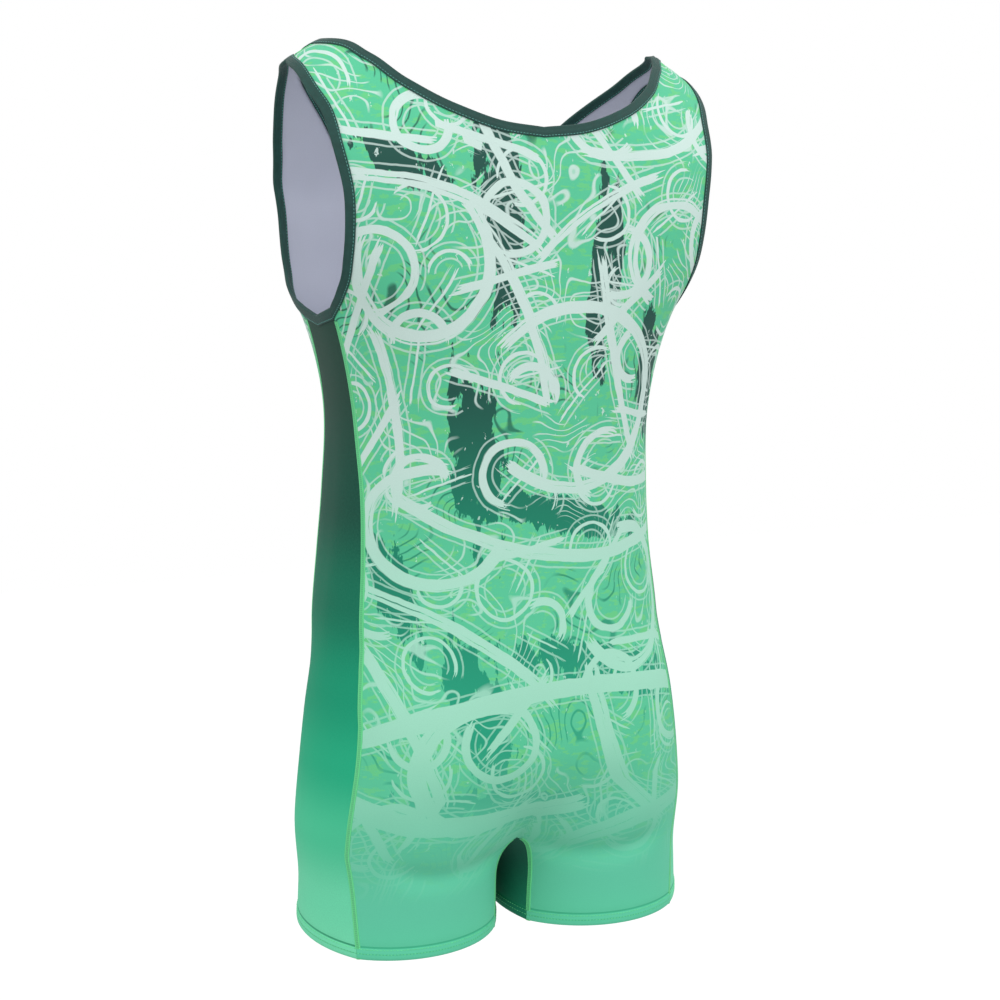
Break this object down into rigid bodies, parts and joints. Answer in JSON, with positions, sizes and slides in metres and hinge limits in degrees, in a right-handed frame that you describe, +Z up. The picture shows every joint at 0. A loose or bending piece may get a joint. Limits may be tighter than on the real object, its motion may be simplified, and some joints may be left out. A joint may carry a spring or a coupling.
{
  "type": "gymnastics singlet",
  "caption": "Sleeveless one-piece gymnastics suit with short legs, in its worn hollow form, with scooped neck, bound armholes, side panels and a gusset.",
  "frame": {"origin": "midway between the undersides of the two shoulder straps, where a wearer's shoulders hold the garment up", "axes": "+Z up towards the shoulders, -Y towards the wearer's front, +X towards the wearer's left"},
  "size_m": [0.3934, 0.2505, 0.8101],
  "materials": {
    "printed_cloth": "smooth printed stretch knit",
    "side_cloth": "fine mesh-like stretch knit, dark at the top fading to mint at the hem",
    "gusset_cloth": "dark green stretch knit",
    "binding_tape": "folded dark green tape with a soft sheen"
  },
  "bodies": {
    "root": {"back": "printed_cloth", "front": "printed_cloth", "side_left": "side_cloth", "side_right": "side_cloth", "gusset": "gusset_cloth", "neck_binding": "binding_tape", "armhole_binding_left": "binding_tape", "armhole_binding_right": "binding_tape"}
  },
  "joints": []
}
